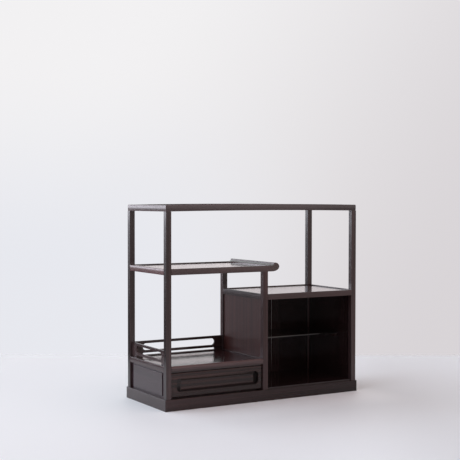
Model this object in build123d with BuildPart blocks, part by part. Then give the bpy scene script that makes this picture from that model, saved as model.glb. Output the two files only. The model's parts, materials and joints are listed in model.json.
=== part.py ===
"""Rosewood display shelf with a staggered shelf, an open cabinet and one drawer.

Frame: X to the right, Y to the back, Z up; the origin is the middle of the plinth's
underside.  All lengths are millimetres.  A limits tuple is (x0, x1, y0, y1, z0, z1).
"""
import os

from build123d import *

os.makedirs("parts", exist_ok=True)

# ---------------------------------------------------------------- driving dimensions
# carcase
frame_width = 900.0          # over the corner posts
frame_depth = 347.0          # over the corner posts
total_height = 790.0
post_size = 22.5             # square posts
post_arris = 1.5
middle_post_left = -13.0     # left face of the two middle posts

# plinth
plinth_height = 45.0
plinth_proud = 5.0           # stands out past the posts on all sides
plinth_rail_width = 30.0
plinth_corner_round = 5.0
plinth_top_round = 2.0
bearer_width = 40.0          # cross bearer under the middle posts
bearer_height = 28.0

# levels of the framed boards, each given by its top face and its height
top_rail_height = 25.0
top_rail_width = 40.0
top_corner_round = 4.0
top_crown = 3.5              # rise of the top's long rails at mid length
shelf_top = 545.5
shelf_height = 24.0
cabinet_top = 430.5
cabinet_rail_height = 23.0
deck_top = 171.5
deck_rail_height = 21.5
rail_arris = 2.5
rail_camber = 0.5            # outer faces of the rails swell by this at mid height
deck_arris = 8.0             # the deck's front edge is rolled over

# panels
lip_width = 10.0             # raised lip outside each panel
panel_recess = 4.0           # panel below its lip
deck_recess = 5.0
panel_thickness = 8.0        # lying panels
wall_thickness = 8.0         # standing panels
wall_recess = 5.0            # standing panels behind the post faces
wall_tongue = 4.0            # how far a standing panel enters its grooves
deck_tongue = 5.0            # deck panel into its right rail
deck_tongue_height = 4.0     # the tongue is the lower half of the panel's edge
field_raise = 3.0            # raised field of the drawer bay's end panel
field_side_border = 23.0
field_end_border = 8.0
field_arris = 1.2

# joints
tenon_thickness = 8.0
tenon_shoulder = 4.0
tenon_gap = 0.25             # between two tenons that meet in one post
post_tenon = 12.0            # square stub tenon at each post end
post_tenon_length = 10.0
bearer_tenon = 10.0

# battens under the panels
batten_width = 30.0
batten_height = 9.0
top_batten_spacing = 300.0

# brush stop: the upturned end of the middle shelf
stop_overhang = 53.5         # from the middle post to the nose
stop_width = 41.0            # from the rail ends to the nose
stop_rise = 11.5             # ridge above the shelf's lip
stop_foot = 8.0              # flat part of the underside
stop_nose_height = 18.5      # nose above the underside
stop_ridge_inset = 20.0      # ridge behind the nose
stop_ridge_radius = 4.0
stop_ledge = 10.0            # carries the panel's end

# gallery fences round the deck
fence_top = 230.0
fence_thickness = 6.0
fence_end = 38.0             # solid length beside each post
fence_top_rail = 11.0
fence_upper_slot = 28.0
fence_middle_rail = 11.0
fence_lower_slot = 9.0
fence_round = 2.0
fence_rebate = 3.0           # fence foot below the deck panel's face

# cabinet interior
floor_thickness = 6.0
floor_setback = 6.0          # floor's front edge behind the post faces
inner_shelf_top = 239.0
inner_shelf_thickness = 6.0
inner_shelf_front = 118.0    # inner shelf's edge behind the post faces
inner_shelf_arris = 1.5
ledger_width = 10.0
ledger_height = 12.0

# drawer bay
bay_floor_setback = 30.0
header_height = 6.0
header_thickness = 12.0
header_setback = 12.0
guide_height = 15.0
guide_gap = 0.5
kicker_width = 15.0
kicker_gap = 0.5
stop_block = 14.0            # square rear stops
stop_block_height = 10.0

# drawer
drawer_setback = 8.0         # front face behind the post faces
drawer_side_gap = 3.0        # each side of the drawer front
drawer_floor_gap = 0.5
drawer_head_gap = 1.5
drawer_front_thickness = 20.0
drawer_front_arris = 1.2
drawer_side_thickness = 9.0
drawer_side_inset = 2.0      # sides inside the ends of the front
drawer_back_thickness = 9.0
drawer_back_drop = 6.0       # back lower than the sides
drawer_bottom_thickness = 4.0
drawer_bottom_rise = 6.0
drawer_groove = 4.0
drawer_tongue = 6.0          # sides into the front
drawer_rear_gap = 16.0       # behind the closed drawer
seat_gap = 0.3               # between the drawer and what it rides on or meets

# carved pull of the drawer front
pull_left_margin = 23.5
pull_right_margin = 15.5
pull_bottom_margin = 18.5
pull_top_margin = 20.0
pull_corner = 15.0
pull_depth = 4.0
end_hollow_length = 22.0     # the pull's floor falls away towards each end
end_hollow_depth = 9.0
edge_hollow_length = 9.0     # and towards its long edges
edge_hollow_depth = 3.5

# ---------------------------------------------------------------- derived places
left, right = -frame_width / 2, frame_width / 2
front, back = -frame_depth / 2, frame_depth / 2
middle_post_right = middle_post_left + post_size
deck_bottom = deck_top - deck_rail_height
cabinet_bottom = cabinet_top - cabinet_rail_height
shelf_bottom = shelf_top - shelf_height
top_bottom = total_height - top_rail_height
tenon_length = (post_size - tenon_thickness) / 2 - tenon_gap
inner_front, inner_back = front + post_size, back - post_size

stop_nose = middle_post_right + stop_overhang
stop_root = stop_nose - stop_width


# ---------------------------------------------------------------- helpers
def box(limits, mode=Mode.ADD):
    """Box between its six limits."""
    x0, x1, y0, y1, z0, z1 = limits
    with Locations(((x0 + x1) / 2, (y0 + y1) / 2, (z0 + z1) / 2)):
        Box(x1 - x0, y1 - y0, z1 - z0, mode=mode)


def meets(a, b):
    """True where two sets of limits share some volume."""
    return all(a[i] < b[i + 1] and b[i] < a[i + 1] for i in (0, 2, 4))


def cut_housings(limits, guests):
    """Cut away the room of every guest that enters the limits of the open part."""
    for guest in guests:
        if meets(limits, guest):
            box(guest, mode=Mode.SUBTRACT)


def write(piece, name):
    piece.part.label = name
    export_step(piece.part, f"parts/{name}.step")


# ---------------------------------------------------------------- places of the posts
def post_limits(x, y, top):
    return (x, x + post_size, y, y + post_size, plinth_height, top)


posts = {
    "post_front_left": post_limits(left, front, top_bottom),
    "post_back_left": post_limits(left, inner_back, top_bottom),
    "post_front_right": post_limits(right - post_size, front, top_bottom),
    "post_back_right": post_limits(right - post_size, inner_back, top_bottom),
    "post_front_middle": post_limits(middle_post_left, front, shelf_bottom),
    "post_back_middle": post_limits(middle_post_left, inner_back, shelf_bottom),
}


def post_tenons(limits):
    """Stub tenons at the foot and the head of a post."""
    x, y = (limits[0] + limits[1]) / 2, (limits[2] + limits[3]) / 2
    half = post_tenon / 2
    plan = (x - half, x + half, y - half, y + half)
    foot = plan + (limits[4] - post_tenon_length, limits[4])
    head = plan + (limits[5], limits[5] + post_tenon_length)
    return [foot, head]


all_post_tenons = [tenon for limits in posts.values() for tenon in post_tenons(limits)]

# ---------------------------------------------------------------- places of the panels
side_wall = left + wall_recess + field_raise          # border face of the bay's end panel
middle_wall = middle_post_left + wall_recess
right_wall = right - wall_recess - wall_thickness
back_wall = back - wall_recess - wall_thickness

walls = {
    "drawer_bay_end": (side_wall, side_wall + wall_thickness,
                       inner_front - wall_tongue, inner_back + wall_tongue,
                       plinth_height, deck_bottom + wall_tongue),
    "drawer_bay_back": (left + post_size - wall_tongue, middle_post_left + wall_tongue,
                        back_wall, back_wall + wall_thickness,
                        plinth_height, deck_bottom + wall_tongue),
    "partition_lower": (middle_wall, middle_wall + wall_thickness,
                        inner_front - wall_tongue, inner_back + wall_tongue,
                        plinth_height, deck_bottom + wall_tongue),
    "partition_upper": (middle_wall, middle_wall + wall_thickness,
                        inner_front - wall_tongue, inner_back + wall_tongue,
                        deck_top - wall_tongue, cabinet_bottom + wall_tongue),
    "cabinet_side": (right_wall, right_wall + wall_thickness,
                     inner_front - wall_tongue, inner_back + wall_tongue,
                     plinth_height, cabinet_bottom + wall_tongue),
    "cabinet_back": (middle_post_right - wall_tongue, right - post_size + wall_tongue,
                     back_wall, back_wall + wall_thickness,
                     plinth_height, cabinet_bottom + wall_tongue),
}

fence_base = deck_top - deck_recess - fence_rebate
fences = {
    "fence_left": (left + lip_width, left + lip_width + fence_thickness,
                   inner_front - wall_tongue, inner_back + wall_tongue,
                   fence_base, fence_top),
    "fence_back": (left + post_size - wall_tongue, middle_post_left + wall_tongue,
                   back - lip_width - fence_thickness, back - lip_width,
                   fence_base, fence_top),
}


def lying_panel(x0, x1, top, recess):
    """Panel between the lips of its front and back rails."""
    return (x0, x1, front + lip_width, back - lip_width,
            top - recess - panel_thickness, top - recess)


panels = {
    "top_panel": lying_panel(left + lip_width, right - lip_width, total_height, panel_recess),
    "shelf_panel": lying_panel(left + lip_width, stop_root, shelf_top, panel_recess),
    "deck_panel": lying_panel(left + lip_width, middle_post_left, deck_top, deck_recess),
    "cabinet_top_panel": lying_panel(middle_post_left + lip_width, right - lip_width,
                                     cabinet_top, panel_recess),
}

# the deck panel's right edge is tongued into the rail between the middle posts
deck_edge = (middle_post_left, middle_post_left + deck_tongue, inner_front, inner_back,
             panels["deck_panel"][4], panels["deck_panel"][4] + deck_tongue_height)

# ---------------------------------------------------------------- rails
# side, outer face, start and end of the run, top, height, recess, rolled edge, tenoned ends
rails = {
    "shelf_rail_front": ("front", front, left + post_size, stop_root,
                         shelf_top, shelf_height, panel_recess, rail_arris, (True, False)),
    "shelf_rail_back": ("back", back, left + post_size, stop_root,
                        shelf_top, shelf_height, panel_recess, rail_arris, (True, False)),
    "shelf_rail_left": ("left", left, inner_front, inner_back,
                        shelf_top, shelf_height, panel_recess, rail_arris, (True, True)),
    "deck_rail_front": ("front", front, left + post_size, middle_post_left,
                        deck_top, deck_rail_height, deck_recess, deck_arris, (True, True)),
    "deck_rail_back": ("back", back, left + post_size, middle_post_left,
                       deck_top, deck_rail_height, deck_recess, rail_arris, (True, True)),
    "deck_rail_left": ("left", left, inner_front, inner_back,
                       deck_top, deck_rail_height, deck_recess, rail_arris, (True, True)),
    "cabinet_rail_front": ("front", front, middle_post_right, right - post_size,
                           cabinet_top, cabinet_rail_height, panel_recess, rail_arris,
                           (True, True)),
    "cabinet_rail_back": ("back", back, middle_post_right, right - post_size,
                          cabinet_top, cabinet_rail_height, panel_recess, rail_arris,
                          (True, True)),
    "cabinet_rail_left": ("left", middle_post_left, inner_front, inner_back,
                          cabinet_top, cabinet_rail_height, panel_recess, rail_arris,
                          (True, True)),
    "cabinet_rail_right": ("right", right, inner_front, inner_back,
                           cabinet_top, cabinet_rail_height, panel_recess, rail_arris,
                           (True, True)),
}


def rail_section(side, face):
    """Near and far limit of a rail across its run."""
    return (face, face + post_size) if side in ("front", "left") else (face - post_size, face)


def rail_limits(side, face, start, end, top, height):
    across = rail_section(side, face)
    plan = (start, end) + across if side in ("front", "back") else across + (start, end)
    return plan + (top - height, top)


def rail_tenons(side, face, start, end, top, height, ends):
    """Stub tenons at the ends of a rail, midway across it and low enough for its ledge."""
    near, far = rail_section(side, face)
    middle = (near + far) / 2
    across = (middle - tenon_thickness / 2, middle + tenon_thickness / 2)
    level = (top - height + tenon_shoulder, top - panel_recess - panel_thickness)
    spans = [(start - tenon_length, start), (end, end + tenon_length)]
    tenons = []
    for span, wanted in zip(spans, ends):
        if wanted:
            plan = span + across if side in ("front", "back") else across + span
            tenons.append(plan + level)
    return tenons


def edge_rail(name, side, face, start, end, top, height, recess, arris, ends):
    """Rail with a raised lip outside and a ledge for the panel inside."""
    inward = 1 if side in ("front", "left") else -1
    bottom, ledge = top - height, top - recess - panel_thickness
    section = [(rail_camber, bottom), (post_size, bottom), (post_size, ledge),
               (lip_width, ledge), (lip_width, top), (rail_camber, top)]
    section = [(face + inward * u, z) for u, z in section]
    along_x = side in ("front", "back")
    plane = Plane.YZ.offset(start) if along_x else Plane.XZ.offset(-end)
    run, across = (Axis.X, Axis.Y) if along_x else (Axis.Y, Axis.X)
    with BuildPart() as rail:
        with BuildSketch(plane):
            with BuildLine():
                Polyline(*section)
                ThreePointArc(section[-1], (face, (bottom + top) / 2), section[0])
            make_face()
        extrude(amount=end - start)
        top_edges = rail.edges().filter_by(run).filter_by_position(Axis.Z, top, top)
        fillet(top_edges.sort_by(across)[0 if inward > 0 else -1], arris)
        for tenon in rail_tenons(side, face, start, end, top, height, ends):
            box(tenon)
        cut_housings(rail_limits(side, face, start, end, top, height),
                     all_post_tenons + list(walls.values()))
    write(rail, name)


for name, spec in rails.items():
    edge_rail(name, *spec)

# rail between the middle posts at deck level: the deck panel is tongued into it
partition_rail = (middle_post_left, middle_post_right, inner_front, inner_back,
                  deck_bottom, deck_top)
partition_tenons = rail_tenons("left", middle_post_left, inner_front, inner_back,
                               deck_top, deck_rail_height, (True, True))
with BuildPart() as deck_rail_right:
    box(partition_rail)
    crest = deck_rail_right.edges().filter_by(Axis.Y).sort_by(Axis.Z)[-2:].sort_by(Axis.X)
    fillet(crest[0], rail_arris)
    for tenon in partition_tenons:
        box(tenon)
    cut_housings(partition_rail, [deck_edge] + list(walls.values()))
write(deck_rail_right, "deck_rail_right")

all_rail_tenons = partition_tenons + [
    tenon
    for side, face, start, end, top, height, recess, arris, ends in rails.values()
    for tenon in rail_tenons(side, face, start, end, top, height, ends)
]

# ---------------------------------------------------------------- brush stop
stop_ledge_top = shelf_top - panel_recess - panel_thickness
stop_nose_z = shelf_bottom + stop_nose_height
stop_ridge_x = stop_nose - stop_ridge_inset
stop_ridge_z = shelf_top + stop_rise
stop_lip_x = stop_ridge_x - stop_ridge_radius
stop_lip_z = stop_ridge_z - stop_ridge_radius
with BuildPart() as brush_stop:
    with BuildSketch(Plane.XZ.offset(-back)):
        with BuildLine():
            Line((stop_root - stop_ledge, shelf_bottom), (stop_root + stop_foot, shelf_bottom))
            EllipticalCenterArc((stop_root + stop_foot, stop_nose_z), stop_width - stop_foot,
                                stop_nose_height, start_angle=270, arc_size=90)
            EllipticalCenterArc((stop_ridge_x, stop_nose_z), stop_ridge_inset,
                                stop_ridge_z - stop_nose_z, start_angle=0, arc_size=90)
            CenterArc((stop_ridge_x, stop_lip_z), stop_ridge_radius, 90, 90)
            EllipticalCenterArc((stop_root, stop_lip_z), stop_lip_x - stop_root,
                                stop_lip_z - shelf_top, start_angle=270, arc_size=90)
            Line((stop_root, shelf_top), (stop_root, stop_ledge_top))
            Line((stop_root, stop_ledge_top), (stop_root - stop_ledge, stop_ledge_top))
            Line((stop_root - stop_ledge, stop_ledge_top), (stop_root - stop_ledge, shelf_bottom))
        make_face()
    extrude(amount=frame_depth)
    # the ledge stops between the shelf's front and back rails
    for y0, y1 in ((front, inner_front), (inner_back, back)):
        box((stop_root - stop_ledge, stop_root, y0, y1, shelf_bottom, stop_ledge_top),
            mode=Mode.SUBTRACT)
write(brush_stop, "brush_stop")


# ---------------------------------------------------------------- lying panels
def notched_panel(name, limits):
    """Lying panel with its corners cut round the posts that pass through it."""
    with BuildPart() as panel:
        box(limits)
        if name == "deck_panel":
            box(deck_edge)
            cut_housings(limits, fences.values())
        cut_housings(limits, posts.values())
    write(panel, name)


for name, limits in panels.items():
    notched_panel(name, limits)


def batten_limits(x, panel):
    """Batten under a panel, between the front and the back rail."""
    return (x - batten_width / 2, x + batten_width / 2, inner_front, inner_back,
            panels[panel][4] - batten_height, panels[panel][4])


def batten(name, panel, spots):
    with BuildPart() as battens:
        for x in spots:
            box(batten_limits(x, panel))
    write(battens, name)


batten("shelf_batten", "shelf_panel", [(left + middle_post_left) / 2])
batten("cabinet_top_batten", "cabinet_top_panel", [(middle_post_left + right) / 2])


# ---------------------------------------------------------------- standing panels
def standing_panel(name, limits):
    with BuildPart() as wall:
        box(limits)
    write(wall, name)


for name, limits in walls.items():
    if name != "drawer_bay_end":
        standing_panel(name, limits)

with BuildPart() as drawer_bay_end:
    box(walls["drawer_bay_end"])
    with BuildSketch(Plane.YZ.offset(side_wall)):
        with Locations((0, (plinth_height + deck_bottom) / 2)):
            Rectangle(inner_back - inner_front - 2 * field_side_border,
                      deck_bottom - plinth_height - 2 * field_end_border)
    extrude(amount=-field_raise)
    fillet(drawer_bay_end.faces().sort_by(Axis.X)[0].edges(), field_arris)
write(drawer_bay_end, "drawer_bay_end")


# ---------------------------------------------------------------- gallery fences
def fence(name, limits, along_x):
    """Thin board with a tall slot over a low one, both with round ends."""
    x0, x1, y0, y1, z0, z1 = limits
    run = (x0, x1) if along_x else (y0, y1)
    plane = Plane.XZ.offset(-y1) if along_x else Plane.YZ.offset(x0)
    slot_length = run[1] - run[0] - 2 * (wall_tongue + fence_end)
    upper_z = z1 - fence_top_rail - fence_upper_slot / 2
    lower_z = upper_z - fence_upper_slot / 2 - fence_middle_rail - fence_lower_slot / 2
    middle = (run[0] + run[1]) / 2
    with BuildPart() as board:
        with BuildSketch(plane):
            with Locations((middle, (z0 + z1) / 2)):
                Rectangle(run[1] - run[0], z1 - z0)
            with Locations((middle, upper_z)):
                SlotOverall(slot_length, fence_upper_slot, mode=Mode.SUBTRACT)
            with Locations((middle, lower_z)):
                SlotOverall(slot_length, fence_lower_slot, mode=Mode.SUBTRACT)
        extrude(amount=fence_thickness)
        fillet(board.faces().sort_by(Axis.Z)[-1].edges().filter_by(Axis.X if along_x else Axis.Y),
               fence_round)
    write(board, name)


fence("fence_left", fences["fence_left"], along_x=False)
fence("fence_back", fences["fence_back"], along_x=True)


# ---------------------------------------------------------------- posts
def post(name, limits):
    x, y = (limits[0] + limits[1]) / 2, (limits[2] + limits[3]) / 2
    with BuildPart() as piece:
        with BuildSketch(Plane.XY.offset(limits[4])):
            with Locations((x, y)):
                RectangleRounded(post_size, post_size, post_arris)
        extrude(amount=limits[5] - limits[4])
        for tenon in post_tenons(limits):
            box(tenon)
        cut_housings(limits, all_rail_tenons + list(walls.values()) + list(fences.values()))
    write(piece, name)


for name, limits in posts.items():
    post(name, limits)


# ---------------------------------------------------------------- mitred frames
def mitre_wedge(side, width, depth, rail_width, reach):
    """Plan of one rail of a mitred frame, carried past the outer corners."""
    w, d = width / 2, depth / 2
    outer = {"front": ((-w, -d), (w, -d)), "back": ((w, d), (-w, d)),
             "left": ((-w, d), (-w, -d)), "right": ((w, -d), (w, d))}[side]
    grow = lambda point, step: tuple(c + (step if c > 0 else -step) for c in point)
    return [grow(outer[0], reach), grow(outer[1], reach),
            grow(outer[1], -rail_width), grow(outer[0], -rail_width)]


def mitred_rails(prefix, ring, width, depth, bottom, top, rail_width, reach):
    for side in ("front", "back", "left", "right"):
        with BuildPart() as rail:
            add(ring)
            with BuildSketch(Plane.XY.offset(bottom)):
                Polygon(*mitre_wedge(side, width, depth, rail_width, reach), align=None)
            extrude(amount=top - bottom, mode=Mode.INTERSECT)
        write(rail, f"{prefix}_{side}")


plinth_width = frame_width + 2 * plinth_proud
plinth_depth = frame_depth + 2 * plinth_proud
bearer_end = plinth_depth / 2 - plinth_rail_width
bearer_middle = (middle_post_left + middle_post_right) / 2
bearer_limits = (bearer_middle - bearer_width / 2, bearer_middle + bearer_width / 2,
                 -bearer_end - bearer_tenon, bearer_end + bearer_tenon,
                 plinth_height - bearer_height, plinth_height)
with BuildPart() as plinth_ring:
    with BuildSketch():
        RectangleRounded(plinth_width, plinth_depth, plinth_corner_round)
        Rectangle(plinth_width - 2 * plinth_rail_width, plinth_depth - 2 * plinth_rail_width,
                  mode=Mode.SUBTRACT)
    extrude(amount=plinth_height)
    top_face = plinth_ring.faces().sort_by(Axis.Z)[-1]
    fillet(top_face.outer_wire().edges(), plinth_top_round)
    cut_housings((-plinth_width / 2, plinth_width / 2, -plinth_depth / 2, plinth_depth / 2,
                  0, plinth_height), all_post_tenons + [bearer_limits])
mitred_rails("plinth", plinth_ring.part, plinth_width, plinth_depth, 0, plinth_height,
             plinth_rail_width, plinth_proud)

with BuildPart() as plinth_bearer:
    box(bearer_limits)
    cut_housings(bearer_limits, all_post_tenons)
write(plinth_bearer, "plinth_bearer")

crown_top = total_height + top_crown
top_middle = (top_bottom + total_height) / 2
top_opening = (left + top_rail_width, right - top_rail_width,
               front + top_rail_width, back - top_rail_width, top_bottom, crown_top)


def cambered_outline(half, reach, crown=0):
    """Outline of the top, cambered at its two sides and reaching equally above and below."""
    inset = rail_camber * (2 * reach / top_rail_height) ** 2
    side, low, high = half - inset, top_middle - reach, top_middle + reach
    ThreePointArc((side, low), (half, top_middle), (side, high))
    ThreePointArc((-side, high), (-half, top_middle), (-side, low))
    if crown:
        ThreePointArc((side, high), (0, high + crown), (-side, high))
        ThreePointArc((-side, low), (0, low + crown), (side, low))
    else:
        Line((side, high), (-side, high))
        Line((-side, low), (side, low))


with BuildPart() as top_ring:
    with BuildSketch(Plane.XZ.offset(-back)):
        with BuildLine():
            cambered_outline(right, top_rail_height / 2, top_crown)
        make_face()
    extrude(amount=frame_depth)
    with BuildSketch(Plane.YZ.offset(left)):
        with BuildLine():
            cambered_outline(back, top_rail_height / 2 + 2 * top_crown)
        make_face()
    extrude(amount=frame_width, mode=Mode.INTERSECT)
    corners = top_ring.edges().filter_by(
        lambda edge: abs(edge.center().X) > right - lip_width
        and abs(edge.center().Y) > back - lip_width)
    fillet(corners, top_corner_round)
    fillet(top_ring.faces().sort_by(Axis.Z)[-1].outer_wire().edges(), rail_arris)
    box(top_opening, mode=Mode.SUBTRACT)
    box(panels["top_panel"][:5] + (crown_top,), mode=Mode.SUBTRACT)
    cut_housings((left, right, front, back, top_bottom, total_height), all_post_tenons)
mitred_rails("top_rail", top_ring.part, frame_width, frame_depth, top_bottom, crown_top,
             top_rail_width, plinth_proud)

with BuildPart() as top_battens:
    for x in (-top_batten_spacing / 2, top_batten_spacing / 2):
        box((x - batten_width / 2, x + batten_width / 2, front + top_rail_width,
             back - top_rail_width, panels["top_panel"][4] - batten_height,
             panels["top_panel"][4]))
write(top_battens, "top_battens")

# ---------------------------------------------------------------- cabinet interior
floor_top = plinth_height + floor_thickness
floor_limits = (middle_wall + wall_thickness, right_wall, front + floor_setback, back_wall,
                plinth_height, floor_top)
with BuildPart() as cabinet_floor:
    box(floor_limits)
    cut_housings(floor_limits, posts.values())
write(cabinet_floor, "cabinet_floor")

inner_shelf_bottom = inner_shelf_top - inner_shelf_thickness
shelf_edge = front + inner_shelf_front
shelf_limits = (middle_wall + wall_thickness, right_wall, shelf_edge, back_wall,
                inner_shelf_bottom, inner_shelf_top)
with BuildPart() as cabinet_shelf:
    box(shelf_limits)
    fillet(cabinet_shelf.faces().sort_by(Axis.Y)[0].edges().filter_by(Axis.X), inner_shelf_arris)
    cut_housings(shelf_limits, posts.values())
write(cabinet_shelf, "cabinet_shelf")

with BuildPart() as shelf_ledgers:
    for x0, x1 in ((middle_wall + wall_thickness, middle_wall + wall_thickness + ledger_width),
                   (right_wall - ledger_width, right_wall)):
        box((x0, x1, shelf_edge, inner_back, inner_shelf_bottom - ledger_height,
             inner_shelf_bottom))
write(shelf_ledgers, "shelf_ledgers")

# ---------------------------------------------------------------- drawer bay
bay_left = side_wall + wall_thickness
bay_floor_limits = (bay_left, middle_wall, front + bay_floor_setback, back_wall,
                    plinth_height, floor_top)
with BuildPart() as drawer_bay_floor:
    box(bay_floor_limits)
    cut_housings(bay_floor_limits, posts.values())
write(drawer_bay_floor, "drawer_bay_floor")

header_bottom = deck_bottom - header_height
with BuildPart() as drawer_header:
    box((left + post_size, middle_post_left, front + header_setback,
         front + header_setback + header_thickness, header_bottom, deck_bottom))
write(drawer_header, "drawer_header")

drawer_left = left + post_size + drawer_side_gap
drawer_right = middle_post_left - drawer_side_gap
drawer_face = front + drawer_setback
drawer_front_back = drawer_face + drawer_front_thickness
drawer_bottom_z = floor_top + drawer_floor_gap
drawer_top_z = header_bottom - drawer_head_gap
side_left = drawer_left + drawer_side_inset
side_right = drawer_right - drawer_side_inset
drawer_end = back_wall - drawer_rear_gap

with BuildPart() as drawer_guides:
    for x0, x1 in ((bay_left, side_left - guide_gap), (side_right + guide_gap, middle_wall)):
        box((x0, x1, drawer_front_back + drawer_side_gap, inner_back, floor_top,
             floor_top + guide_height))
write(drawer_guides, "drawer_guides")

kicker_start = max(front + header_setback + header_thickness, inner_front)
with BuildPart() as drawer_kickers:
    for x0 in (side_left, side_right - kicker_width):
        box((x0, x0 + kicker_width, kicker_start, inner_back,
             drawer_top_z + kicker_gap, panels["deck_panel"][4]))
write(drawer_kickers, "drawer_kickers")

with BuildPart() as drawer_stops:
    for x0 in (side_left + drawer_side_thickness,
               side_right - drawer_side_thickness - stop_block):
        box((x0, x0 + stop_block, drawer_end + seat_gap, back_wall, floor_top,
             floor_top + stop_block_height))
write(drawer_stops, "drawer_stops")

# ---------------------------------------------------------------- drawer
bottom_board_z = drawer_bottom_z + drawer_bottom_rise
inside_left = side_left + drawer_side_thickness
inside_right = side_right - drawer_side_thickness
side_rest = (drawer_front_back - drawer_tongue, drawer_end, drawer_bottom_z, drawer_top_z)
side_limits = {
    "drawer_side_left": (side_left, inside_left) + side_rest,
    "drawer_side_right": (inside_right, side_right) + side_rest,
}
drawer_bottom_limits = (inside_left - drawer_groove, inside_right + drawer_groove,
                        drawer_front_back - drawer_groove, drawer_end - drawer_back_thickness,
                        bottom_board_z, bottom_board_z + drawer_bottom_thickness)

for name, limits in side_limits.items():
    with BuildPart() as drawer_side:
        box(limits)
        cut_housings(limits, [drawer_bottom_limits])
    write(drawer_side, name)

with BuildPart() as drawer_back:
    box((inside_left, inside_right, drawer_end - drawer_back_thickness, drawer_end,
         drawer_bottom_z, drawer_top_z - drawer_back_drop))
write(drawer_back, "drawer_back")

with BuildPart() as drawer_bottom:
    box(drawer_bottom_limits)
write(drawer_bottom, "drawer_bottom")


def hollow_radius(length, depth):
    """Radius of a hollow that falls by depth over length and is level at its deepest."""
    return (length ** 2 + depth ** 2) / (2 * depth)


pull_left, pull_right = drawer_left + pull_left_margin, drawer_right - pull_right_margin
pull_bottom, pull_top = drawer_bottom_z + pull_bottom_margin, drawer_top_z - pull_top_margin
pull_width, pull_height = pull_right - pull_left, pull_top - pull_bottom
pull_x, pull_z = (pull_left + pull_right) / 2, (pull_bottom + pull_top) / 2
pull_floor = drawer_face + pull_depth
end_radius = hollow_radius(end_hollow_length, end_hollow_depth)
edge_radius = hollow_radius(edge_hollow_length, edge_hollow_depth)
with BuildPart() as pull_hollow:
    box((pull_left, pull_right, drawer_face, pull_floor, pull_bottom, pull_top))
    with Locations([(x, pull_floor + end_hollow_depth - end_radius, pull_z)
                    for x in (pull_left, pull_right)]):
        Cylinder(end_radius, pull_height)
    with Locations([(pull_x, pull_floor + edge_hollow_depth - edge_radius, z)
                    for z in (pull_bottom, pull_top)]):
        Cylinder(edge_radius, pull_width, rotation=(0, 90, 0))
    with BuildSketch(Plane.XZ.offset(-drawer_face)):
        with Locations((pull_x, pull_z)):
            RectangleRounded(pull_width, pull_height, pull_corner)
    extrude(amount=-(pull_depth + end_hollow_depth), mode=Mode.INTERSECT)

front_limits = (drawer_left, drawer_right, drawer_face, drawer_front_back,
                drawer_bottom_z, drawer_top_z)
with BuildPart() as drawer_front:
    box(front_limits)
    fillet(drawer_front.faces().sort_by(Axis.Y)[0].edges(), drawer_front_arris)
    add(pull_hollow.part, mode=Mode.SUBTRACT)
    cut_housings(front_limits, list(side_limits.values()) + [drawer_bottom_limits])
write(drawer_front, "drawer_front")
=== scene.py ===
import json
import math

import bpy
import numpy as np
from mathutils import Matrix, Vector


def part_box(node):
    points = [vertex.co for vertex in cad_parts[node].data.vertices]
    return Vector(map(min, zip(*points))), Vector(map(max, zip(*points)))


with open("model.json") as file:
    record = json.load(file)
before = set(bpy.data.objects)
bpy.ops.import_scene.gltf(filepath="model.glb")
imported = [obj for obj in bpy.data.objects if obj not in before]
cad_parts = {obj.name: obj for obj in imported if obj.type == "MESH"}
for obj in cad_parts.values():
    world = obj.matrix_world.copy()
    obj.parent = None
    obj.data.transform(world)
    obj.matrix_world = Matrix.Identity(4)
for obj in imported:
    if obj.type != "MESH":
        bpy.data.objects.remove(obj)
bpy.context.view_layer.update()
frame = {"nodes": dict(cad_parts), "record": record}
nodes = frame["nodes"]
slotOf = {row["node"]: row["material_slot"] for row in frame["record"]["subparts"]}
print("frame loaded:", len(nodes), "nodes")


# the camera stands in front and to the left, a little above the shelf
camera = {
    "place": (-2.26637, -3.74308, 0.80981),
    "turn": -30.44,      # degrees from looking straight at the front
    "tilt": -1.64,
    "roll": 0.06,
    "lens": 82.39,       # millimetres, as the sensor's width is
    "sensor": 36.0,
    "reach": 60.0,       # how far it sees, metres
}


def makeCamera():
    data = bpy.data.cameras.new("camera")
    data.lens = camera["lens"]
    data.sensor_width = camera["sensor"]
    data.clip_end = camera["reach"]
    made = bpy.data.objects.new("camera", data)
    bpy.context.scene.collection.objects.link(made)
    turn = Matrix.Rotation(math.radians(camera["turn"]), 4, "Z")
    tilt = Matrix.Rotation(math.radians(90 + camera["tilt"]), 4, "X")
    roll = Matrix.Rotation(math.radians(camera["roll"]), 4, "Z")
    made.matrix_world = Matrix.Translation(camera["place"]) @ turn @ tilt @ roll
    bpy.context.scene.camera = made


makeCamera()
bpy.context.scene.view_settings.view_transform = "Standard"
print("camera placed")


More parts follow.
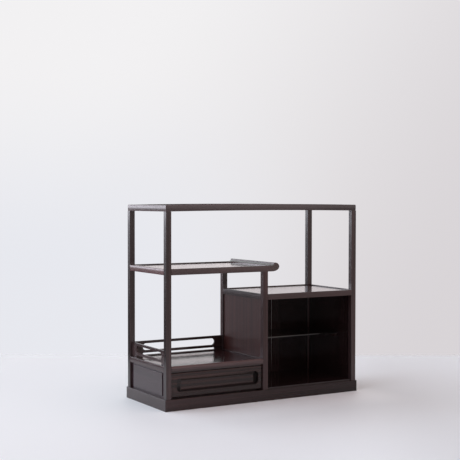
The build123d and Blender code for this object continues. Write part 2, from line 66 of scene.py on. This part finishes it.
# a socket of a node tree; arithmetic on it adds Math nodes
class Signal:
    def __init__(self, tree, socket=None):
        self.tree = tree
        self.socket = socket

    # one node: its settings first, then the value or link of each input
    def node(self, kind, settings=None, inputs=None, output=0):
        made = self.tree.nodes.new(kind)
        for name, value in (settings or {}).items():
            setattr(made, name, value)
        for name, value in (inputs or {}).items():
            if isinstance(value, Signal):
                self.tree.links.new(value.socket, made.inputs[name])
            else:
                made.inputs[name].default_value = value
        return Signal(self.tree, made.outputs[output] if made.outputs else None)

    def sum(self, operation, *values):
        return self.node("ShaderNodeMath", {"operation": operation}, dict(enumerate(values)))

    def __add__(self, other):
        return self.sum("ADD", self, other)

    def __sub__(self, other):
        return self.sum("SUBTRACT", self, other)

    def __rsub__(self, other):
        return self.sum("SUBTRACT", other, self)

    def __mul__(self, other):
        return self.sum("MULTIPLY", self, other)

    def __pow__(self, other):
        return self.sum("POWER", self, other)

    def __rpow__(self, other):
        return self.sum("POWER", other, self)

    __radd__ = __add__
    __rmul__ = __mul__

    def low(self, other):
        return self.sum("MINIMUM", self, other)

    def high(self, other):
        return self.sum("MAXIMUM", self, other)

    # 0 below start, 1 above end, smooth between; start may be the larger
    def step(self, start, end):
        return self.node("ShaderNodeMapRange", {"interpolation_type": "SMOOTHSTEP"},
                         {"Value": self, "From Min": start, "From Max": end})

    # colour between two, by this signal
    def blend(self, a, b):
        return self.node("ShaderNodeMix", {"data_type": "RGBA", "blend_type": "MIX"},
                         {0: self, 6: a, 7: b}, 2)

    # this colour times another
    def tinted(self, other):
        return self.node("ShaderNodeMix", {"data_type": "RGBA", "blend_type": "MULTIPLY"},
                         {0: 1.0, 6: self, 7: other}, 2)

    # how far this place reaches along an axis
    def towards(self, axis):
        return self.node("ShaderNodeVectorMath", {"operation": "DOT_PRODUCT"}, {0: self, 1: axis}, 1)

    # x, y and z of this place or direction
    def split(self):
        return [self.node("ShaderNodeSeparateXYZ", None, {0: self}, i) for i in range(3)]

    def unsigned(self):
        return self.sum("ABSOLUTE", self)


def colour(r, g, b):
    return (r, g, b, 1.0)


def startMaterial(name):
    made = bpy.data.materials.new(name)
    made.use_nodes = True
    made.node_tree.nodes.clear()
    return made, Signal(made.node_tree)


# a pale room lights the shelf: each panel is a soft-edged patch of the sky dome, in degrees
# azimuth 0 is straight behind the shelf and grows to its right; a later panel covers an earlier one
room = {
    "walls": (0.50, 0.46, 0.46),
    "panels": [
        # azimuth span, elevation span, edge, radiance
        ((-200, 200), (-100, -16), 3.0, (0.50, 0.52, 0.54)),     # floor below
        ((-200, -60), (-16, 0), 3.0, (0.65, 0.64, 0.65)),        # floor to the left
        ((0, 60), (-16, 0), 3.0, (0.66, 0.64, 0.65)),            # floor behind
        ((60, 200), (-16, 0), 3.0, (0.48, 0.46, 0.45)),          # floor to the right and in front
        ((-60, 0), (-16, -5), 1.0, (0.13, 0.12, 0.13)),          # shaded base of the window wall
        ((-60, 0), (-5, -3), 2.0, (0.45, 0.43, 0.46)),
        ((-60, 0), (-3, 0), 2.0, (0.80, 0.78, 0.84)),
        ((-200, -120), (0, 36), 3.0, (0.42, 0.33, 0.32)),        # dim room in front, left
        ((-120, -75), (0, 36), 3.0, (0.85, 0.98, 1.10)),
        ((-75, -45), (0, 12), 2.0, (1.30, 1.32, 1.45)),
        ((-75, -45), (12, 36), 3.0, (1.80, 2.05, 2.27)),
        ((-45, -20), (5, 36), 2.0, (0.72, 0.70, 0.84)),
        ((-45, -20), (-0.8, 6.5), 1.2, (4.40, 4.40, 4.85)),      # low window behind to the left
        ((-20, 5), (0, 12), 2.0, (0.88, 0.96, 0.99)),
        ((-20, 5), (12, 36), 3.0, (1.26, 1.34, 1.39)),
        ((5, 60), (0, 12), 2.0, (1.02, 0.94, 0.96)),             # wall behind
        ((5, 60), (12, 36), 3.0, (1.25, 1.40, 1.42)),
        ((60, 120), (0, 36), 3.0, (0.30, 0.21, 0.19)),           # dim wall to the right
        ((120, 200), (0, 12), 2.0, (1.25, 1.12, 1.12)),          # lit room in front, right
        ((120, 200), (12, 36), 3.0, (0.95, 0.76, 0.74)),
        ((-200, 200), (35, 56), 3.0, (0.20, 0.14, 0.12)),        # dark band of ceiling
        ((-120, -5), (35, 56), 3.0, (2.55, 3.00, 3.40)),         # skylight above the window
        ((-200, 200), (55, 100), 3.0, (1.06, 0.93, 0.94)),       # pale ceiling
    ],
    # the plain wall that the camera sees
    "behind": 30.5,                  # azimuth of its middle
    "lit": (0.89, 0.88, 0.89),       # at its left
    "unlit": (0.69, 0.66, 0.68),     # at its right
    "cool": (0.80, 0.81, 0.86),      # low down at its left
    "shade": (-12, 16),              # it darkens between these, degrees from its middle
    "lean": 0.6,                     # and further right the higher up
    "coolHeight": (8, -4),
    "coolEnd": (38, 24),
    "rear": (150, 90),               # out of the camera's sight, both fade away again
}


# 1 inside a span, 0 outside, with a soft edge
def within(signal, span, edge):
    half = edge / 2
    return signal.step(span[0] - half, span[0] + half) * signal.step(span[1] + half, span[1] - half)


def makeWorld():
    world = bpy.data.worlds.new("room")
    bpy.context.scene.world = world
    world.use_nodes = True
    world.node_tree.nodes.clear()
    start = Signal(world.node_tree)
    x, y, z = start.node("ShaderNodeTexCoord", output=0).split()
    azimuth = start.sum("ARCTAN2", x, y) * math.degrees(1)
    elevation = start.sum("ARCSINE", z) * math.degrees(1)
    light = colour(*room["walls"])
    for azimuths, elevations, edge, radiance in room["panels"]:
        mask = within(azimuth, azimuths, edge) * within(elevation, elevations, edge)
        light = mask.blend(light, colour(*radiance))
    farRear, nearRear = room["rear"]
    shade = (azimuth - elevation * room["lean"]).step(*(room["behind"] + s for s in room["shade"]))
    shade = shade * azimuth.step(farRear, nearRear)
    cool = elevation.step(*room["coolHeight"]) * azimuth.step(*room["coolEnd"])
    cool = cool * azimuth.step(-farRear, -nearRear)
    wall = shade.blend(colour(*room["lit"]), colour(*room["unlit"]))
    wall = cool.blend(wall, colour(*room["cool"]))
    lamp = start.node("ShaderNodeBackground", None, {"Color": light, "Strength": 1.0})
    shown = start.node("ShaderNodeBackground", None, {"Color": wall, "Strength": 1.0})
    seen = start.node("ShaderNodeLightPath", output=0)
    both = start.node("ShaderNodeMixShader", None, {0: seen, 1: lamp, 2: shown})
    start.node("ShaderNodeOutputWorld", None, {0: both})


makeWorld()

# metres of floor round the shelf's middle, and its paint, which holds painted light and painted shade
floorPlan = {
    "behind": 1.15,                 # towards the wall
    "before": 2.2,
    "side": 1.5,
    "fade": 0.12,                   # soft edge towards the wall
    "longFade": 0.36,               # and on the other three sides
    "rough": 0.6,
    # painted shade: the floor's paint is lighter at the camera's left and darker at its right, where the
    # shelf's shadow falls
    "lit": (0.85, 0.85, 0.86),      # paint at the camera's left
    "unlit": (0.71, 0.70, 0.71),    # and at its right
    "turns": (0.25, 0.75),          # between these distances to the right of the middle
    # painted light: a pale strip just before the shelf lifts the shade there
    "paintedLightColour": (0.97, 0.96, 0.97),   # a strip just before the shelf
    "stripEnd": (0.50, 0.25),       # it fades out away from the shelf,
    "stripStart": (0.1, 0.2),       # under it
    "stripSides": (0.6, 0.35),      # and past its ends
}


# flat floor: a rectangle turned to face the camera, fading out at its edges and not seen from below
def makeFloor():
    turn = math.radians(room["behind"])
    wall = np.array([math.sin(turn), math.cos(turn)])
    side = np.array([wall[1], -wall[0]])
    corners = [wall * d + side * s for d, s in (
        (-floorPlan["before"], -floorPlan["side"]), (-floorPlan["before"], floorPlan["side"]),
        (floorPlan["behind"], floorPlan["side"]), (floorPlan["behind"], -floorPlan["side"]))]
    mesh = bpy.data.meshes.new("floor")
    mesh.from_pydata([(x, y, 0.0) for x, y in corners], [], [(0, 1, 2, 3)])
    made = bpy.data.objects.new("floor", mesh)
    bpy.context.scene.collection.objects.link(made)
    material, start = startMaterial("floor_paint_and_painted_shade")
    place = start.node("ShaderNodeTexCoord", output=3)
    depth = place.towards((*wall, 0.0))
    across = place.towards((*side, 0.0))
    before = place.towards((0, -1, 0))
    # painted light in a strip before the shelf, and painted shade towards the camera's right
    paintedLightStrip = before.step(*floorPlan["stripEnd"]) * before.step(*floorPlan["stripStart"])
    paintedLightStrip = paintedLightStrip * place.towards((1, 0, 0)).unsigned().step(*floorPlan["stripSides"])
    floorPaintedLightAndShade = across.step(*floorPlan["turns"]).blend(colour(*floorPlan["lit"]), colour(*floorPlan["unlit"]))
    floorPaintedLightAndShade = paintedLightStrip.blend(floorPaintedLightAndShade, colour(*floorPlan["paintedLightColour"]))
    shown = depth.step(floorPlan["behind"], floorPlan["behind"] - floorPlan["fade"])
    shown = shown * depth.step(-floorPlan["before"], floorPlan["longFade"] - floorPlan["before"])
    shown = shown * across.unsigned().step(floorPlan["side"], floorPlan["side"] - floorPlan["longFade"])
    below = start.node("ShaderNodeNewGeometry", output=6)
    shader = start.node("ShaderNodeBsdfPrincipled", None, {
        "Base Color": floorPaintedLightAndShade, "Roughness": floorPlan["rough"], "Alpha": shown * (1 - below)})
    start.node("ShaderNodeOutputMaterial", None, {0: shader})
    mesh.materials.append(material)


makeFloor()
print("room and floor made")


# close-grained rosewood under a thin clear finish
woods = {
    # colour is the mean; spread, vein and flame are the strengths of the figure; layers are per metre
    "frame_wood": {"colour": (0.044, 0.025, 0.025), "spread": 0.40, "vein": 0.40, "flame": 0.35,
                   "layers": 80, "rough": 0.125},
    "plinth_wood": {"colour": (0.028, 0.014, 0.014), "spread": 0.40, "vein": 0.40, "flame": 0.25,
                    "layers": 70, "rough": 0.22},
    "board_wood": {"colour": (0.036, 0.013, 0.013), "spread": 0.35, "vein": 0.35, "flame": 0.40,
                   "layers": 50, "rough": 0.13},
    "wall_wood": {"colour": (0.048, 0.016, 0.014), "spread": 0.30, "vein": 0.35, "flame": 0.25,
                  "layers": 60, "rough": 0.32, "sway": 0.002, "ior": 1.30},
    "bay_wood": {"colour": (0.027, 0.012, 0.016), "spread": 0.30, "vein": 0.30, "flame": 0.20,
                 "layers": 60, "rough": 0.22},
    "inside_wood": {"colour": (0.020, 0.010, 0.010), "spread": 0.40, "vein": 0.30, "flame": 0.40,
                    "layers": 45, "rough": 0.05},
    "drawer_front_wood": {"colour": (0.018, 0.008, 0.007), "spread": 0.60, "vein": 0.75, "flame": 0.45,
                          "layers": 110, "rough": 0.26, "sway": 0.003},
    "drawer_lining_wood": {"colour": (0.40, 0.285, 0.175), "spread": 0.16, "vein": 0.22, "flame": 0.15,
                           "layers": 130, "rough": 0.50},
    "hidden_wood": {"colour": (0.034, 0.019, 0.017), "spread": 0.35, "vein": 0.40, "flame": 0.30,
                    "layers": 70, "rough": 0.45},
}

# pieces that differ from their slot. tone lightens the whole piece. tones are painted light and shade
# that change along an axis (0, 1 or 2), from one place to another, from one tone to another. crown swells
# a rail's face in the shading. seam is a painted highlight line where a joint between two boards lies.
# Places are metres from the piece's left, front or bottom
own = {
    # painted light: lighter towards its left end
    "top_rail_front": {"colour": (0.042, 0.029, 0.030), "paintedTones": [(0, 0.0, 0.9, 1.95, 1.0)]},
    "top_rail_left": {"tone": 1.40},
    # painted shade on the left faces of three posts; the back right post is painted lighter beyond its
    # left face
    "post_front_left": {"paintedTones": [(0, 0.0001, 0.0015, 0.35, 1.0)]},      # dark left face
    "post_back_left": {"paintedTones": [(0, 0.0001, 0.0015, 0.35, 1.0)]},
    "post_back_right": {"paintedTones": [(0, 0.0001, 0.0015, 0.50, 1.35)]},
    # painted light: lighter near its top
    "post_front_middle": {"paintedTones": [(2, 0.365, 0.415, 1.0, 1.3)], "ior": 1.38},
    "post_back_middle": {"tone": 1.20},
    "shelf_rail_front": {"colour": (0.042, 0.027, 0.027), "tone": 1.55},
    # painted reflection: the whole rail is lightened for the window's reflection on its left face
    "shelf_rail_left": {"tone": 2.70, "crown": 0.0004},
    "shelf_panel": {"rough": 0.09},
    "brush_stop": {"colour": (0.060, 0.030, 0.027), "tone": 1.4, "rough": 0.14, "spread": 0.20,
                   "vein": 0.20, "ior": 1.75},
    # painted highlight: lighter towards its rolled top edge
    "deck_rail_front": {"paintedTones": [(2, 0.0, 0.021, 0.80, 2.2)], "crown": 0.0003},
    "deck_rail_left": {"ior": 1.42},
    "deck_rail_right": {"ior": 1.25},
    "cabinet_rail_left": {"rough": 0.35, "ior": 1.32},
    "cabinet_top_panel": {"ior": 1.40},
    # painted highlight: a pale line down the back panel
    "cabinet_back": {"wood": "inside_wood", "grain": 2, "rough": 0.09, "paintedHighlightAt": 0.2345},
    "cabinet_side": {"wood": "inside_wood", "grain": 2},
    "cabinet_floor": {"wood": "inside_wood"},
    # painted light: lighter at its left, fading to the right
    "cabinet_shelf": {"wood": "inside_wood", "colour": (0.014, 0.014, 0.013),
                      "paintedTones": [(0, 0.0, 0.30, 4.5, 0.4)]},
    "partition_upper": {"grain": 2},
    # painted shade, dark all over
    "partition_lower": {"grain": 2, "paintedTones": [(2, 0.0, 0.1, 0.45, 0.45)]},      # dark all over
    "drawer_bay_end": {"wood": "bay_wood"},
    "drawer_bay_back": {"wood": "bay_wood"},
    # painted light and shade: lighter at its left end and above its pull
    "drawer_front": {"paintedTones": [(0, 0.0245, 0.4045, 1.35, 0.95), (2, 0.0625, 0.0705, 1.0, 2.0)],
                     "ior": 1.43},
    # painted shade: darker towards its right end
    "plinth_front": {"paintedTones": [(0, 0.0035, 0.9035, 1.30, 0.55)], "ior": 1.41},
}

# one noise for each feature: its frequency along the grain and across it or through the growth
# layers, per metre or per layer, and its detail
figure = {
    "toneVariation": 0.08,     # most that one piece is lighter or darker than its finish
    "pith": (0.06, 0.22),      # nearest and farthest heart of the tree from a piece's middle, metres
    "start": (-9, 9),          # where along the tree a piece is cut from, metres
    "sway": 0.012,             # the layers wander by this, metres
    "swayNoise": (1.7, 4.0, 2.0),
    "layerNoise": (0.8, 1.0, 3.0),
    "veinNoise": (1.1, 1.6, 1.0),
    "flameNoise": (0.5, 0.22, 2.0),
    "fibreNoise": (9.0, 420.0, 2.0),
    "poreNoise": (1 / 0.012, 1 / 0.0004, 1.0),     # pores 12 mm long and 0.4 mm wide
    "smudgeNoise": (6.0, 9.0, 3.0),
    "waveNoise": (2.5, 13.0, 1.0),
    "apart": 40,               # keeps the noises through the layers from matching
    "swayApart": 0.5,          # and the sways of the two sides
    "fibreShare": 0.25,        # of the fibres in the light and dark of the figure
    "figured": (0.30, 0.70),   # where each noise turns into its feature
    "flames": (0.50, 0.72),
    "veins": (0.60, 0.70),
    "pores": (0.63, 0.72),
    "worn": (0.40, 0.65),
    "poreDepth": 0.00005,
    "planing": 0.00012,        # height of the long waves left by the plane
    "arris": 0.0016,           # width of the rubbed arrises
    "joint": 0.0005,           # width of the dark line at a piece's ends
    "ior": 1.5,
}

# features mixed into the colour: strength, tone against the mean, redness
stainsAndShade = {
    "flame": (1.0, 1.15, 1.25),      # the wood's own strength of flame and vein comes on top
    "vein": (1.0, 0.25, 1.0),
    "pore": (0.5, 0.3, 1.0),
    "rubbed": (0.5, 2.2, 1.0),
    "joint": (0.6, 0.2, 1.0),
    # painted shade in the pull's hollows
    "pull": (1.0, 0.1, 1.0),
}

# roughness that each feature adds; smudges take away as much as they add
dullness = {"smudge": 0.06, "pore": 0.12, "rubbed": 0.08, "pull": 0.4}

# a painted highlight line along a joint, on the face that looks forward; metres
paintedHighlight = {
    "colour": (0.34, 0.34, 0.34),
    "strength": 0.9,
    "edge": (0.0016, 0.0008),      # to either side of its line
    "rise": 0.16,                  # it comes up from nothing over this height
    "skin": (0.002, 0.001),        # how far into the wood
}

# painted shade in the carved pull: it is dark and dull in its hollows, most of all at its right end and
# its foot
pull = {
    "hollow": (0.0045, 0.008),     # depth below the drawer's face, metres
    "back": (0.0145, 0.014),       # the back of the front, deeper still, is left out
    "rightEnd": (0.104, 0.044),    # from the front's right end
    "foot": (0.0435, 0.0305),      # from its bottom edge
    "least": 0.35,                 # strength of the dark in any hollow
    "more": 0.5,                   # and so much more where it is darkest
}


def scaled(rgb, factor, red=1.0):
    return colour(rgb[0] * factor * red, rgb[1] * factor, rgb[2] * factor)


# the figure follows growth layers: cylinders round a pith line beside the piece, running along the
# grain, so a layer's number is the distance from the pith, swayed a little, times the layers per metre
def makeWood(name, seed):
    change = own.get(name, {})
    spec = {**woods[change.get("wood", slotOf[name])], **change}
    low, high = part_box(name)
    size = [b - a for a, b in zip(low, high)]
    middle = [(a + b) / 2 for a, b in zip(low, high)]
    grain = change.get("grain", size.index(max(size)))     # else along the piece's longest side
    sides = [i for i in range(3) if i != grain]
    material, start = startMaterial(name + "_wood")
    draw = np.random.default_rng(seed)
    tone = spec.get("tone", 1.0) * (1 + figure["toneVariation"] * draw.uniform(-1, 1))
    place = start.node("ShaderNodeTexCoord", output=3).split()
    along = place[grain] + draw.uniform(*figure["start"])
    angle, away = draw.uniform(0, 2 * math.pi), draw.uniform(*figure["pith"])
    heart = away * math.cos(angle), away * math.sin(angle)
    mean = [tone * c for c in spec["colour"]]
    fromLow = [p - edge for p, edge in zip(place, low)]      # distances from the sides of its box
    fromHigh = [edge - p for p, edge in zip(place, high)]

    def noise(vector, detail):
        made = start.node("ShaderNodeCombineXYZ", None, dict(enumerate(vector)))
        return start.node("ShaderNodeTexNoise", None, {"Vector": made, "Scale": 1.0, "Detail": detail})

    # noise in the solid piece, stretched along the grain
    def solidNoise(feature):
        lengthwise, crosswise, detail = figure[feature]
        return noise((along * lengthwise, *(place[i] * crosswise for i in sides)), detail)

    # noise through the growth layers
    def layerNoise(feature, number):
        lengthwise, through, detail = figure[feature]
        return noise((layer * through, along * lengthwise, seed + number * figure["apart"]), detail)

    def stainOrShade(base, feature, mask):
        strength, factor, red = stainsAndShade[feature]
        return (mask * strength).blend(base, scaled(mean, factor, red))

    lengthwise, crosswise, detail = figure["swayNoise"]
    wander = 2 * spec.get("sway", figure["sway"])
    sway = [noise((along * lengthwise, place[i] * crosswise, seed + i * figure["swayApart"]), detail)
            for i in sides]
    across = [place[i] - middle[i] - h + (s - 0.5) * wander for i, h, s in zip(sides, heart, sway)]
    layer = (across[0] * across[0] + across[1] * across[1]) ** 0.5 * spec["layers"]
    layers = layerNoise("layerNoise", 0)
    veins = layerNoise("veinNoise", 1)
    flames = layerNoise("flameNoise", 2)
    fibres = solidNoise("fibreNoise")
    smudge = solidNoise("smudgeNoise")
    pores = solidNoise("poreNoise").step(*figure["pores"])

    figured = layers * (1 - figure["fibreShare"]) + fibres * figure["fibreShare"]
    figured = figured.step(*figure["figured"])
    base = figured.blend(scaled(mean, 1 - spec["spread"]), scaled(mean, 1 + spec["spread"]))
    base = stainOrShade(base, "flame", flames.step(*figure["flames"]) * spec["flame"])
    base = stainOrShade(base, "vein", veins.step(*figure["veins"]) * spec["vein"])
    base = stainOrShade(base, "pore", pores)
    # painted light and shade: the colour lightens or darkens along an axis
    for axis, first, last, firstTone, lastTone in spec.get("paintedTones", ()):
        shade = fromLow[axis].step(first, last)
        base = base.tinted(shade.blend(scaled((1, 1, 1), firstTone), scaled((1, 1, 1), lastTone)))

    # painted highlight line on the face that looks forward
    if "paintedHighlightAt" in spec:
        paintedHighlightAt = (fromLow[0] - spec["paintedHighlightAt"]).unsigned().step(*paintedHighlight["edge"])
        paintedHighlightAt = paintedHighlightAt * fromLow[2].step(0.0, paintedHighlight["rise"]) * fromLow[1].step(*paintedHighlight["skin"])
        base = (paintedHighlightAt * paintedHighlight["strength"]).blend(base, colour(*paintedHighlight["colour"]))

    # rubbed arrises: the second nearest side of the piece's box is close
    depths = [a.low(b) for a, b in zip(fromLow, fromHigh)]
    second = depths[0].low(depths[1]).high(depths[0].high(depths[1]).low(depths[2]))
    rubbed = second.step(figure["arris"], 0.0) * smudge.step(*figure["worn"])
    base = stainOrShade(base, "rubbed", rubbed)
    base = stainOrShade(base, "joint", depths[grain].step(figure["joint"], 0.0))
    rough = spec["rough"] + (smudge - 0.5) * dullness["smudge"]
    rough = rough + pores * dullness["pore"] + rubbed * dullness["rubbed"]

    if name == "drawer_front":
        # painted shade: the pull's hollows are darkened, most of all at its right end and its foot
        shadedHollow = fromLow[1].step(*pull["hollow"]) * fromLow[1].step(*pull["back"])
        deepestShade = fromHigh[0].step(*pull["rightEnd"]).high(fromLow[2].step(*pull["foot"]))
        base = stainOrShade(base, "pull", shadedHollow * (deepestShade * pull["more"] + pull["least"]))
        rough = rough + shadedHollow * deepestShade * dullness["pull"]

    height = solidNoise("waveNoise") * figure["planing"] - pores * figure["poreDepth"]
    if "crown" in spec:
        rise = (place[2] - middle[2]) * (2 / size[2])
        height = height - rise * rise * spec["crown"]
    bump = start.node("ShaderNodeBump", None, {"Height": height, "Distance": 1.0, "Strength": 1.0})
    shader = start.node("ShaderNodeBsdfPrincipled", None, {
        "Base Color": base, "Roughness": rough, "Normal": bump, "IOR": spec.get("ior", figure["ior"])})
    start.node("ShaderNodeOutputMaterial", None, {0: shader})
    return material


for seed, (name, node) in enumerate(sorted(nodes.items())):
    node.data.materials.clear()
    node.data.materials.append(makeWood(name, seed))
print("woods made")
